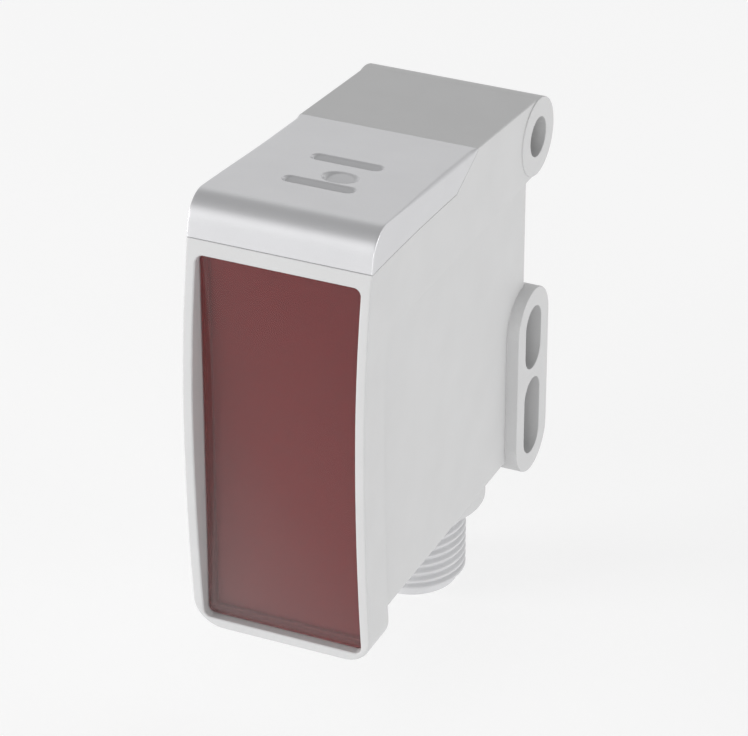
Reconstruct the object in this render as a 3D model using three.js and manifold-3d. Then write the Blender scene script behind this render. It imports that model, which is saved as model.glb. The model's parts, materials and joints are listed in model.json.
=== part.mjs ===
// Compact photoelectric sensor: a flat moulded housing with a tall red window in its convex front face, a
// satin operating cap on its top front edge, a mounting eye and a slotted mounting lug along its rear edge,
// and a round threaded plug connector under it.
//
// Millimetres. +X is the sensor's right when it is seen from the front, the front faces -Y, and +Z is up.
// While the pieces are drawn, X = 0 is the middle plane, and Y = 0, Z = 0 is the corner where the front
// face meets the seam under the cap. The last lines move the origin to the middle of the sensor's box.

import * as THREE from "three";
import { mergeVertices } from "three/addons/utils/BufferGeometryUtils.js";
import Module from "manifold-3d";

const wasm = await Module();
wasm.setup();

// ---------------------------------------------------------------- driving dimensions

// Housing
const WIDTH = 20; // across the bezel and the upper band
const BODY_HEIGHT = 42.35; // from the cap seam down to the underside
const BODY_DEPTH = 42.9; // from the front corner back to the rear wall
const WALL = 1.4; // side and rear walls
const FLOOR = 1.6; // bottom wall and roof
const FACE_BULGE = 1.88; // how far the convex face stands in front of its top corner
const FACE_CREST = 20; // from the seam down to the foremost line of the face
const FACE_LOWER_RADIUS = 200; // curve of the face below that line
const BEZEL_DEPTH = 4.8; // the bezel's side strip, front to back
const BEZEL_LIP = 2.55; // how far the bezel reaches below the underside
const BEZEL_CORNER = 3.2; // its bottom corners
const PANEL_RECESS = 1.25; // side panels, below the bezel's side strip
const PANEL_CORNER = 3.4; // their top front corner
const PANEL_EDGE = 0.6; // their rounded bottom edges
const ROOF_HEIGHT = 4.315; // roof line above the seam, carried forward to Y = 0
const ROOF_ANGLE = THREE.MathUtils.degToRad(5.15); // the roof falls to the rear

// Mounting eye and slotted lug
const PAD_PROUD = 0.15; // mounting faces, outside the bezel's side strip
const MOUNT_SETBACK = 0.6; // hole line, in front of the rear wall
const EYE_RADIUS = 4.35;
const EYE_BORE = 2.17;
const LUG_RADIUS = 4.31;
const LUG_SPAN = 13.75; // between the centres of its two round ends
const LUG_RISE = 2.1; // centre of its lower end above the underside
const SLOT_RADIUS = 2.16;
const UPPER_SLOT_TRAVEL = 3.1;
const LOWER_SLOT_TRAVEL = 4.9;

// Window
const WINDOW_RIM_SIDE = 1.12;
const WINDOW_RIM_TOP = 1.7;
const WINDOW_RIM_BOTTOM = 1.18;
const WINDOW_CORNER = 0.8;
const WINDOW_SETBACK = 0.4; // outer face of the glass behind the top corner
const WINDOW_THICKNESS = 1.6;
const WINDOW_PLAY = 0.12;
const GASKET_THICKNESS = 0.6;

// Cap
const CAP_LENGTH = 26; // front corner to the cap's rear edge
const CAP_FLAT = 20.5; // where the seam turns up towards the rear edge
const CAP_REAR_EDGE = 0.22; // blunt rear edge
const CAP_FRONT_RADIUS = 3;
const CAP_FRONT_LEAN = Math.atan(0.2);
const CAP_WALL = 1.3;
const SEAM_RADIUS = 290; // the seam is a very flat arc
const SEAM_GAP = 0.08;
const SKIRT_DEPTH = 2.5;
const SKIRT_WALL = 1;
const SKIRT_PLAY = 0.1;
const SKIRT_INSET = 1.6; // skirt inside the housing's side faces
const SKIRT_FRONT = 3.5;
const SKIRT_REAR = 20.2;
const SEAL_THICKNESS = 0.6;
const GROOVE_LENGTH = 8;
const GROOVE_WIDTH = 1.6;
const GROOVE_DEPTH = 0.5;
const FRONT_GROOVE_Y = 9;
const REAR_GROOVE_Y = 16;
const KEY_X = 1.4; // middle of the teach key's dimple
const KEY_Y = 11.45;
const DIMPLE_RADIUS = 6;
const DIMPLE_DEPTH = 0.3;

// Optics
const INNER_PLAY = 0.25; // inner pieces to the housing's walls
const CARRIER_GAP = 0.4; // carrier behind the window's seat
const CARRIER_RIM = 1; // wall round each lens
const LENS_PLAY = 0.1;
const LENS_SEAT = 3.6;
const LENS_LEDGE = 0.8;
const LENS_RIM = 1.6;
const LENS_CROWN = 1.4;
const BOARD_THICKNESS = 1.2;
const BOARD_GAP = 0.3;
const RIB_THICKNESS = 1; // ribs on the carrier that hold the operating board up
const RIB_INSET = 1;
// Width, height and depth of each optical package, then the radius and reach of its window
const EMITTER_PACKAGE = [3.2, 3.2, 1];
const EMITTER_DOME = [1.2, 2];
const RECEIVER_PACKAGE = [4.4, 4, 1.1];
const RECEIVER_DOME = [1.5, 1.8];

// Operating board under the cap
const OPERATING_BOARD_DROP = 4; // its top face below the seam
const OPERATING_BOARD_THICKNESS = 1;
const OPERATING_BOARD_FRONT = 5.4;
const OPERATING_BOARD_END = 0.8; // its rear edge in front of the main board
const CARRIER_CLEARANCE = 1; // carrier below the operating board
const SWITCH_SIZE = 3.4;
const SWITCH_HEIGHT = 1.7;
const SWITCH_FLOOR = 0.4;
const STEM_RADIUS = 1;
const STEM_PLAY = 0.15;
const STEM_PROUD = 0.7;
const KEY_TRAVEL = 0.3;
const PLUNGER_RADIUS = 1.3;
const PLUNGER_HEAD_RADIUS = 1.7;
const PLUNGER_PLAY = 0.15;
const GUIDE_THICKNESS = 1;
const GUIDE_HEIGHT = 3.4; // underside above the operating board
const GUIDE_LEG = 1.2;
const PIPE_LENGTH = 7;
const PIPE_THICKNESS = 1.1;
const PIPE_PLAY = 0.15;
const PIPE_TO_LED = 0.3;
const STATUS_LED = [1.6, 0.8, 0.7];

// Main board
const MAIN_BOARD_SETBACK = 7.3; // in front of the connector's axis
const MAIN_BOARD_RISE = 1.05; // its lower edge above the connector's flange
const HEADER = [9, 2.6, 4.4]; // width, height and stack of the board-to-board header
const HEADER_DROP = 2; // below the main board's top edge
// Parts on its rear face: name, x, distance below the board's top edge, width, height, thickness
const BOARD_PARTS = [
  ["control_chip", 0, 9, 6, 6, 1.2],
  ["voltage_regulator", 2.6, 16, 3.2, 4, 1.6],
  ["output_driver", -2.8, 16, 3, 3, 1.1],
];
const CAPACITOR = [1.6, 3.4]; // radius and length
const CAPACITOR_XS = [-2.6, 2.6];
const CAPACITOR_DROP = 21;
const FLEX_WIDTH = 6;
const FLEX_THICKNESS = 0.2;
const FLEX_BEND = 0.9;
const FLEX_LAP = 2; // over the operating board
const FLEX_DROP = 4; // down the main board

// Connector
const CONNECTOR_SETBACK = 10.2; // its axis in front of the rear wall
const SPIGOT_WALL = 2.06; // round the thread
const SPIGOT_HEIGHT = 2.6;
const THREAD_RADIUS = 6;
const THREAD_PITCH = 1;
const THREAD_DEPTH = 0.55;
const THREAD_TURNS = 8;
const THREAD_CREST = 0.1; // half of the flat crest, as a share of the pitch
const CONNECTOR_LENGTH = 12.78; // below the housing's underside
const NOSE_STEP = 0.83; // plain nose, inside the thread's radius
const NOSE_LENGTH = 1.43;
const SHELL_WALL = 1.6;
const SHELL_FLANGE_REACH = 0.6; // flange, outside the thread's radius
const SHELL_FLANGE_HEIGHT = 1.2;
const SHELL_KEY_WIDTH = 0.9; // rib in the mouth that lets the socket in one way round
const SHELL_KEY_REACH = 0.6;
const SHELL_KEY_INSET = 1.5; // its end inside the mouth
const PORT_PLAY = 0.15;
const RING_SECTION = 0.42;
const INSERT_FACE = 8; // insert's face inside the mouth of the shell
const INSERT_RISE = 1.6; // insert above the shell's flange
const INSERT_PLAY = 0.1;
const PIN_COUNT = 4;
const PIN_RADIUS = 0.5;
const PIN_CIRCLE = 2.5; // radius of the circle through the pins
const PIN_INSET = 1.5; // pin tips inside the mouth of the shell
const PIN_TIP = 0.2; // chamfer
const PIN_TAIL = 1.5; // pin above the insert
const PIN_PLAY = 0.06;
const LEAD_RADIUS = 0.45;
const LEAD_GAP = 0.3;
const LEAD_RISE = 2.5; // straight up from the pin before the lead turns forward
const LEAD_SLOPE = 0.35;

const PAST = 1; // how far a cutting shape runs past the faces that it opens

// ---------------------------------------------------------------- shared places

const HALF = WIDTH / 2;
const PANEL = HALF - PANEL_RECESS; // side panels, from the middle plane
const CAVITY = PANEL - WALL; // inside of the side walls
const PAD = HALF + PAD_PROUD; // mounting faces
const UNDERSIDE = -BODY_HEIGHT;
const FACE_BOTTOM = UNDERSIDE - BEZEL_LIP;
const MOUNT_Y = BODY_DEPTH - MOUNT_SETBACK;
const EYE_Z = roofZ(MOUNT_Y) - EYE_RADIUS / Math.cos(ROOF_ANGLE);
const PANEL_TOP = EYE_Z - EYE_RADIUS;
const LUG_LOW = UNDERSIDE + LUG_RISE;
const LUG_HIGH = LUG_LOW + LUG_SPAN;
const CAVITY_FLOOR = UNDERSIDE + FLOOR;
const CAVITY_REAR = MOUNT_Y - EYE_RADIUS + WALL;
const SEAT_Y = WINDOW_SETBACK + WINDOW_THICKNESS + GASKET_THICKNESS;
const LEDGE_Z = -SKIRT_DEPTH - SEAL_THICKNESS; // step that carries the cap seal
const SKIRT = HALF - SKIRT_INSET;
const BOARD_HALF = CAVITY - INNER_PLAY;
const OPERATING_TOP = -OPERATING_BOARD_DROP;
const CARRIER_TOP = OPERATING_TOP - OPERATING_BOARD_THICKNESS - CARRIER_CLEARANCE;
const CARRIER_BOTTOM = CAVITY_FLOOR + INNER_PLAY;
const LENS_RADIUS = BOARD_HALF - CARRIER_RIM;
const CARRIER_FRONT = SEAT_Y + CARRIER_GAP;
const EMITTER_Z = CARRIER_TOP - CARRIER_RIM - LENS_RADIUS;
const RECEIVER_Z = CARRIER_BOTTOM + CARRIER_RIM + LENS_RADIUS;
const CONNECTOR_Y = BODY_DEPTH - CONNECTOR_SETBACK;
const MAIN_BOARD_Y = CONNECTOR_Y - MAIN_BOARD_SETBACK;
const OPTICS_BOARD_Y = MAIN_BOARD_Y - HEADER[2] - BOARD_THICKNESS;
const CARRIER_REAR = OPTICS_BOARD_Y - BOARD_GAP;
const OPERATING_BOARD_REAR = MAIN_BOARD_Y - OPERATING_BOARD_END;
const SPIGOT_RADIUS = THREAD_RADIUS + SPIGOT_WALL;
const SHELL_BORE = THREAD_RADIUS - SHELL_WALL;
const SHELL_FLANGE_RADIUS = THREAD_RADIUS + SHELL_FLANGE_REACH;
const NOSE_RADIUS = THREAD_RADIUS - NOSE_STEP;
const MOUTH_Z = UNDERSIDE - CONNECTOR_LENGTH;
const SHELL_TOP = CAVITY_FLOOR + SHELL_FLANGE_HEIGHT;
const INSERT_TOP = SHELL_TOP + INSERT_RISE;
const MAIN_BOARD_TOP = CARRIER_TOP - BOARD_GAP;
const MAIN_BOARD_REAR = MAIN_BOARD_Y + BOARD_THICKNESS;

// Height of the roof line at a depth y.
function roofZ(y) {
  return ROOF_HEIGHT - y * Math.tan(ROOF_ANGLE);
}

// Height of the seam under the cap at a depth y.
function seamZ(y) {
  return Math.sqrt(SEAM_RADIUS ** 2 - y ** 2) - SEAM_RADIUS;
}

// Depth of the convex front face at a height z: two arcs that share a vertical tangent at the crest.
function faceY(z) {
  const upperRadius = (FACE_CREST ** 2 + FACE_BULGE ** 2) / (2 * FACE_BULGE);
  const radius = z > -FACE_CREST ? upperRadius : FACE_LOWER_RADIUS;
  return radius - FACE_BULGE - Math.sqrt(radius ** 2 - (z + FACE_CREST) ** 2);
}

// ---------------------------------------------------------------- shape helpers

// steps + 1 points of a curve from t = from to t = to.
function sampled(curve, from, to, steps) {
  const points = [];
  for (let i = 0; i <= steps; i++) points.push(curve(from + ((to - from) * i) / steps));
  return points;
}

function polygon(points) {
  return new THREE.Shape(points.map(([u, v]) => new THREE.Vector2(u, v)));
}

function circle(radius, u = 0, v = 0) {
  return new THREE.Shape().absarc(u, v, radius, 0, 2 * Math.PI);
}

// Rectangle from (u0, v0) to (u1, v1), with the radius of its lower and of its upper corners.
function roundedBox(u0, v0, u1, v1, lower, upper = lower) {
  const shape = new THREE.Shape();
  const corner = (u, v, radius, start) => {
    if (radius > 0) shape.absarc(u, v, radius, start, start + Math.PI / 2);
    else shape.lineTo(u, v);
  };
  shape.moveTo(u0 + lower, v0);
  corner(u1 - lower, v0 + lower, lower, -Math.PI / 2);
  corner(u1 - upper, v1 - upper, upper, 0);
  corner(u0 + upper, v1 - upper, upper, Math.PI / 2);
  corner(u0 + lower, v0 + lower, lower, Math.PI);
  return shape;
}

// Round-ended slot outline along v, between two centres.
function slotAlongV(u, v0, v1, radius) {
  const shape = new THREE.Shape();
  shape.absarc(u, v0, radius, Math.PI, 2 * Math.PI);
  shape.absarc(u, v1, radius, 0, Math.PI);
  return shape;
}

// Round-ended slot outline along u, between two centres.
function slotAlongU(u0, u1, v, radius) {
  const shape = new THREE.Shape();
  shape.absarc(u1, v, radius, -Math.PI / 2, Math.PI / 2);
  shape.absarc(u0, v, radius, Math.PI / 2, (3 * Math.PI) / 2);
  return shape;
}

function extruded(shape, depth, arcSteps) {
  return new THREE.ExtrudeGeometry(shape, { depth, bevelEnabled: false, curveSegments: arcSteps });
}

// Prism along X of an outline drawn in (Y, Z).
function prismX(shape, x0, x1, arcSteps = 12) {
  const turn = new THREE.Matrix4().makeBasis(
    new THREE.Vector3(0, 1, 0),
    new THREE.Vector3(0, 0, 1),
    new THREE.Vector3(1, 0, 0),
  );
  return extruded(shape, x1 - x0, arcSteps).applyMatrix4(turn).translate(x0, 0, 0);
}

// Prism along Y of an outline drawn in (X, Z).
function prismY(shape, y0, y1, arcSteps = 12) {
  return extruded(shape, y1 - y0, arcSteps).rotateX(Math.PI / 2).translate(0, y1, 0);
}

// Prism along Z of an outline drawn in (X, Y).
function prismZ(shape, z0, z1, arcSteps = 12) {
  return extruded(shape, z1 - z0, arcSteps).translate(0, 0, z0);
}

function box(x0, x1, y0, y1, z0, z1) {
  return new THREE.BoxGeometry(x1 - x0, y1 - y0, z1 - z0).translate(
    (x0 + x1) / 2,
    (y0 + y1) / 2,
    (z0 + z1) / 2,
  );
}

// Solid of revolution of a profile of [radius, height] points, about an upright axis.
function turnedZ(profile, x, y, steps = 32) {
  const points = profile.map(([radius, height]) => new THREE.Vector2(radius, height));
  return new THREE.LatheGeometry(points, steps).rotateX(Math.PI / 2).translate(x, y, 0);
}

// The same about an axis along Y, with the profile's heights counted towards the rear.
function turnedY(profile, x, z, steps = 32) {
  const points = profile.map(([radius, height]) => new THREE.Vector2(radius, height));
  return new THREE.LatheGeometry(points, steps).translate(x, 0, z);
}

function rod(radius, x, y, z0, z1, steps = 20) {
  return turnedZ([[0, z0], [radius, z0], [radius, z1], [0, z1]], x, y, steps);
}

// ---------------------------------------------------------------- booleans

function toSolid(geometry) {
  const bare = geometry.index ? geometry.toNonIndexed() : geometry.clone();
  bare.deleteAttribute("normal");
  bare.deleteAttribute("uv");
  const merged = mergeVertices(bare, 1e-4);
  return new wasm.Manifold(
    new wasm.Mesh({
      numProp: 3,
      vertProperties: merged.attributes.position.array,
      triVerts: new Uint32Array(merged.index.array),
    }),
  );
}

function toGeometry(solid) {
  const { vertProperties, triVerts } = solid.getMesh();
  return new THREE.BufferGeometry()
    .setAttribute("position", new THREE.BufferAttribute(vertProperties, 3))
    .setIndex(new THREE.BufferAttribute(triVerts, 1))
    .toNonIndexed();
}

// Joins the first list of geometries, then cuts the second list out of the result.
function carve(added, removed = []) {
  let solid = toSolid(added[0]);
  for (const geometry of added.slice(1)) solid = solid.add(toSolid(geometry));
  for (const geometry of removed) solid = solid.subtract(toSolid(geometry));
  return toGeometry(solid);
}

function common(first, second) {
  return toGeometry(toSolid(first).intersect(toSolid(second)));
}

// ---------------------------------------------------------------- materials and the assembly

function finish(color, roughness, metalness = 0, extra = {}) {
  return new THREE.MeshStandardMaterial({ color, roughness, metalness, ...extra });
}

const FINISHES = {
  housing: finish(0xd2d2d4, 0.55),
  cap: finish(0xdcdce0, 0.4),
  glass: finish(0x7c4244, 0.08, 0, { transparent: true, opacity: 0.75 }),
  rubber: finish(0x2b2c2e, 0.8),
  black: finish(0x1d1e20, 0.6),
  lens: finish(0xe8eef2, 0.05, 0, { transparent: true, opacity: 0.5 }),
  board: finish(0x1f5a3c, 0.5),
  chip: finish(0x26272a, 0.5),
  connector: finish(0xc9cacc, 0.5),
  metal: finish(0xb8babd, 0.3, 1),
  gold: finish(0xd9b45a, 0.3, 1),
  emitter: finish(0xa01818, 0.3),
  green: finish(0x3fbf5a, 0.3),
  yellow: finish(0xe8c23c, 0.3),
  clear: finish(0xe6ebee, 0.15, 0, { transparent: true, opacity: 0.6 }),
  flex: finish(0xc07a2c, 0.5),
  button: finish(0xe4e4e6, 0.5),
};

const group = new THREE.Group();

function place(name, geometry, finishName) {
  const mesh = new THREE.Mesh(geometry, FINISHES[finishName].clone());
  mesh.name = name;
  group.add(mesh);
}

// ---------------------------------------------------------------- housing

// Bezel ring's outer solid: the convex face, a strip of constant depth behind it, round bottom corners.
function bezelSolid() {
  const top = seamZ(BEZEL_DEPTH) - SEAM_GAP;
  const front = sampled((z) => [faceY(z), z], top, FACE_BOTTOM, 18);
  const back = front.map(([y, z]) => [y + BEZEL_DEPTH, z]).reverse();
  const strip = prismX(polygon([...front, ...back]), -HALF, HALF);
  const outline = roundedBox(-HALF, FACE_BOTTOM, HALF, PAST, BEZEL_CORNER, 0);
  return common(strip, prismY(outline, -FACE_BULGE - PAST, 2 * BEZEL_DEPTH));
}

// Upper band: seam, the rise under the cap's rear end, roof, mounting eye, and the panels' top edge.
function bandSolid() {
  const seam = sampled((y) => [y, seamZ(y) - SEAM_GAP], 0, CAP_FLAT, 8);
  const rise = [
    [CAP_LENGTH, roofZ(CAP_LENGTH) - CAP_REAR_EDGE - SEAM_GAP],
    [CAP_LENGTH, roofZ(CAP_LENGTH)],
  ];
  const roof = [
    [MOUNT_Y, roofZ(MOUNT_Y)],
    [MOUNT_Y, PANEL_TOP],
  ];
  const cornerZ = PANEL_TOP - PANEL_CORNER;
  const cornerY = faceY(cornerZ) + BEZEL_DEPTH + PANEL_CORNER;
  const corner = sampled(
    (turn) => [cornerY + PANEL_CORNER * Math.cos(turn), cornerZ + PANEL_CORNER * Math.sin(turn)],
    Math.PI / 2,
    Math.PI,
    8,
  );
  const inside = [[cornerY - PANEL_CORNER - PAST, cornerZ]];
  return prismX(polygon([...seam, ...rise, ...roof, ...corner, ...inside]), -HALF, HALF);
}

function coreSolid() {
  const outline = roundedBox(-PANEL, UNDERSIDE, PANEL, PANEL_TOP + WALL, PANEL_EDGE, 0);
  return prismY(outline, WINDOW_SETBACK + WINDOW_THICKNESS, BODY_DEPTH, 4);
}

// Room for the optics, the boards and the cap's skirt.
function cavityCuts() {
  const roofInside = (y) => roofZ(y) - FLOOR;
  const rampFront = CAP_LENGTH + WALL;
  const main = polygon([
    [SEAT_Y, CAVITY_FLOOR],
    [CAVITY_REAR, CAVITY_FLOOR],
    [CAVITY_REAR, roofInside(CAVITY_REAR)],
    [rampFront, roofInside(rampFront)],
    [rampFront, LEDGE_Z],
    [SEAT_Y, LEDGE_Z],
  ]);
  const pocketTop = PANEL_TOP - WALL;
  const pocketBottom = LUG_HIGH + LUG_RADIUS + WALL;
  return [
    prismX(main, -CAVITY, CAVITY),
    box(-CAVITY, CAVITY, CAVITY_REAR - WALL, BODY_DEPTH - WALL, pocketBottom, pocketTop),
    box(
      -SKIRT - SKIRT_PLAY,
      SKIRT + SKIRT_PLAY,
      SKIRT_FRONT - SKIRT_PLAY,
      SKIRT_REAR + SKIRT_PLAY,
      LEDGE_Z,
      PAST,
    ),
  ];
}

function windowOutline(play) {
  return roundedBox(
    -HALF + WINDOW_RIM_SIDE + play,
    FACE_BOTTOM + WINDOW_RIM_BOTTOM + play,
    HALF - WINDOW_RIM_SIDE - play,
    -WINDOW_RIM_TOP - play,
    WINDOW_CORNER,
  );
}

function addHousing() {
  const added = [
    bezelSolid(),
    bandSolid(),
    coreSolid(),
    prismX(circle(EYE_RADIUS, MOUNT_Y, EYE_Z), -PAD, PAD, 48),
    prismX(slotAlongV(MOUNT_Y, LUG_LOW, LUG_HIGH, LUG_RADIUS), -PAD, PAD, 20),
    rod(SPIGOT_RADIUS, 0, CONNECTOR_Y, UNDERSIDE - SPIGOT_HEIGHT, CAVITY_FLOOR, 48),
  ];
  const through = PAD + PAST;
  const port = UNDERSIDE - SPIGOT_HEIGHT - PAST;
  const removed = [
    prismY(windowOutline(0), -FACE_BULGE - PAST, SEAT_Y, 5),
    ...cavityCuts(),
    prismX(circle(EYE_BORE, MOUNT_Y, EYE_Z), -through, through, 32),
    prismX(slotAlongV(MOUNT_Y, LUG_HIGH - UPPER_SLOT_TRAVEL, LUG_HIGH, SLOT_RADIUS), -through, through),
    prismX(slotAlongV(MOUNT_Y, LUG_LOW, LUG_LOW + LOWER_SLOT_TRAVEL, SLOT_RADIUS), -through, through),
    rod(THREAD_RADIUS + PORT_PLAY, 0, CONNECTOR_Y, port, CAVITY_FLOOR + PAST, 40),
    rod(SHELL_FLANGE_RADIUS + PORT_PLAY, 0, CONNECTOR_Y, CAVITY_FLOOR, SHELL_TOP + PAST, 40),
  ];
  place("housing", carve(added, removed), "housing");
}

// ---------------------------------------------------------------- window

function addWindow() {
  const gasketY = WINDOW_SETBACK + WINDOW_THICKNESS;
  place("front_window", prismY(windowOutline(WINDOW_PLAY), WINDOW_SETBACK, gasketY, 5), "glass");
  const ring = windowOutline(WINDOW_PLAY);
  const innerTop = LEDGE_Z - INNER_PLAY;
  ring.holes.push(
    roundedBox(-CAVITY, CAVITY_FLOOR, CAVITY, innerTop, WINDOW_CORNER),
  );
  place("window_gasket", prismY(ring, gasketY, SEAT_Y, 4), "rubber");
}

// ---------------------------------------------------------------- cap and its seal

// Side outline of the cap: seam, rear rise, roof, and the rounded front edge above the leaning front.
function capOutline() {
  const seam = sampled((y) => [y, seamZ(y)], 0, CAP_FLAT, 8);
  const rear = [
    [CAP_LENGTH, roofZ(CAP_LENGTH) - CAP_REAR_EDGE],
    [CAP_LENGTH, roofZ(CAP_LENGTH)],
  ];
  const cornerZ = ROOF_HEIGHT / (1 + Math.tan(CAP_FRONT_LEAN) * Math.tan(ROOF_ANGLE));
  const turn = Math.PI / 2 - CAP_FRONT_LEAN + ROOF_ANGLE;
  const reach = CAP_FRONT_RADIUS * Math.tan(turn / 2);
  const topY = cornerZ * Math.tan(CAP_FRONT_LEAN) + reach * Math.cos(ROOF_ANGLE);
  const centreY = topY - CAP_FRONT_RADIUS * Math.sin(ROOF_ANGLE);
  const centreZ = roofZ(topY) - CAP_FRONT_RADIUS * Math.cos(ROOF_ANGLE);
  const edge = sampled(
    (angle) => [
      centreY + CAP_FRONT_RADIUS * Math.cos(angle),
      centreZ + CAP_FRONT_RADIUS * Math.sin(angle),
    ],
    Math.PI / 2 - ROOF_ANGLE,
    Math.PI - CAP_FRONT_LEAN,
    12,
  );
  return polygon([...seam, ...rear, ...edge]);
}

function addCap() {
  const innerRoof = (y) => roofZ(y) - CAP_WALL;
  const inside = SKIRT - SKIRT_WALL;
  const front = SKIRT_FRONT + SKIRT_WALL;
  const rear = SKIRT_REAR - SKIRT_WALL;
  const hollow = polygon([
    [front, -SKIRT_DEPTH - PAST],
    [rear, -SKIRT_DEPTH - PAST],
    [rear, innerRoof(rear)],
    [front, innerRoof(front)],
  ]);
  const halfGroove = (GROOVE_LENGTH - GROOVE_WIDTH) / 2;
  const grooves = [FRONT_GROOVE_Y, REAR_GROOVE_Y].map((y) => {
    const outline = slotAlongU(-halfGroove, halfGroove, y, GROOVE_WIDTH / 2);
    return prismZ(outline, roofZ(y) - GROOVE_DEPTH, roofZ(y) + PAST, 8);
  });
  const dimple = new THREE.SphereGeometry(DIMPLE_RADIUS, 48, 32);
  dimple.translate(KEY_X, KEY_Y, roofZ(KEY_Y) + DIMPLE_RADIUS - DIMPLE_DEPTH);
  const added = [
    prismX(capOutline(), -HALF, HALF),
    box(-SKIRT, SKIRT, SKIRT_FRONT, SKIRT_REAR, -SKIRT_DEPTH, 0),
  ];
  place("operating_cap", carve(added, [prismX(hollow, -inside, inside), ...grooves, dimple]), "cap");

  const seal = roundedBox(-SKIRT, SKIRT_FRONT, SKIRT, SKIRT_REAR, 0);
  seal.holes.push(roundedBox(-CAVITY, front, CAVITY, rear, 0));
  place("cap_seal", prismZ(seal, LEDGE_Z, -SKIRT_DEPTH), "rubber");
}

// ---------------------------------------------------------------- optics

// Square package on the optics board's front face, with a round window that stands out of it.
function opticalPackage([width, height, depth], [radius, reach], z) {
  const y = OPTICS_BOARD_Y;
  const body = box(-width / 2, width / 2, y - depth, y, z - height / 2, z + height / 2);
  return carve([body, prismY(circle(radius, 0, z), y - reach, y - depth / 2, 16)]);
}

function addOptics() {
  const seatRear = CARRIER_FRONT + LENS_SEAT;
  const boreRadius = LENS_RADIUS - LENS_LEDGE;
  const bores = [EMITTER_Z, RECEIVER_Z].flatMap((z) => [
    prismY(circle(LENS_RADIUS + LENS_PLAY, 0, z), CARRIER_FRONT - PAST, seatRear, 32),
    prismY(circle(boreRadius, 0, z), seatRear - PAST, CARRIER_REAR + PAST, 32),
  ]);
  const boardUnderside = OPERATING_TOP - OPERATING_BOARD_THICKNESS;
  const ribFronts = [OPERATING_BOARD_FRONT + RIB_INSET, CARRIER_REAR - RIB_INSET - RIB_THICKNESS];
  const ribs = ribFronts.map((y) =>
    box(-BOARD_HALF / 2, BOARD_HALF / 2, y, y + RIB_THICKNESS, CARRIER_TOP - RIB_INSET, boardUnderside),
  );
  const block = box(-BOARD_HALF, BOARD_HALF, CARRIER_FRONT, CARRIER_REAR, CARRIER_BOTTOM, CARRIER_TOP);
  place("optics_carrier", carve([block, ...ribs], bores), "black");

  // Plano-convex lenses, flat side forward.
  const lensFront = seatRear - LENS_RIM;
  const crown = sampled(
    (t) => [LENS_RADIUS * Math.cos(t), lensFront - LENS_CROWN * Math.sin(t)],
    Math.PI / 2,
    0,
    6,
  );
  crown[0][0] = 0;
  const profile = [...crown, [LENS_RADIUS, seatRear], [0, seatRear]];
  place("transmitter_lens", turnedY(profile, 0, EMITTER_Z, 32), "lens");
  place("receiver_lens", turnedY(profile, 0, RECEIVER_Z, 32), "lens");

  const boardRear = OPTICS_BOARD_Y + BOARD_THICKNESS;
  place(
    "optics_board",
    box(-BOARD_HALF, BOARD_HALF, OPTICS_BOARD_Y, boardRear, CARRIER_BOTTOM, CARRIER_TOP),
    "board",
  );
  place("emitter_led", opticalPackage(EMITTER_PACKAGE, EMITTER_DOME, EMITTER_Z), "emitter");
  place("receiver_photodiode", opticalPackage(RECEIVER_PACKAGE, RECEIVER_DOME, RECEIVER_Z), "chip");
}

// ---------------------------------------------------------------- operating board, teach key, light pipes

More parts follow.
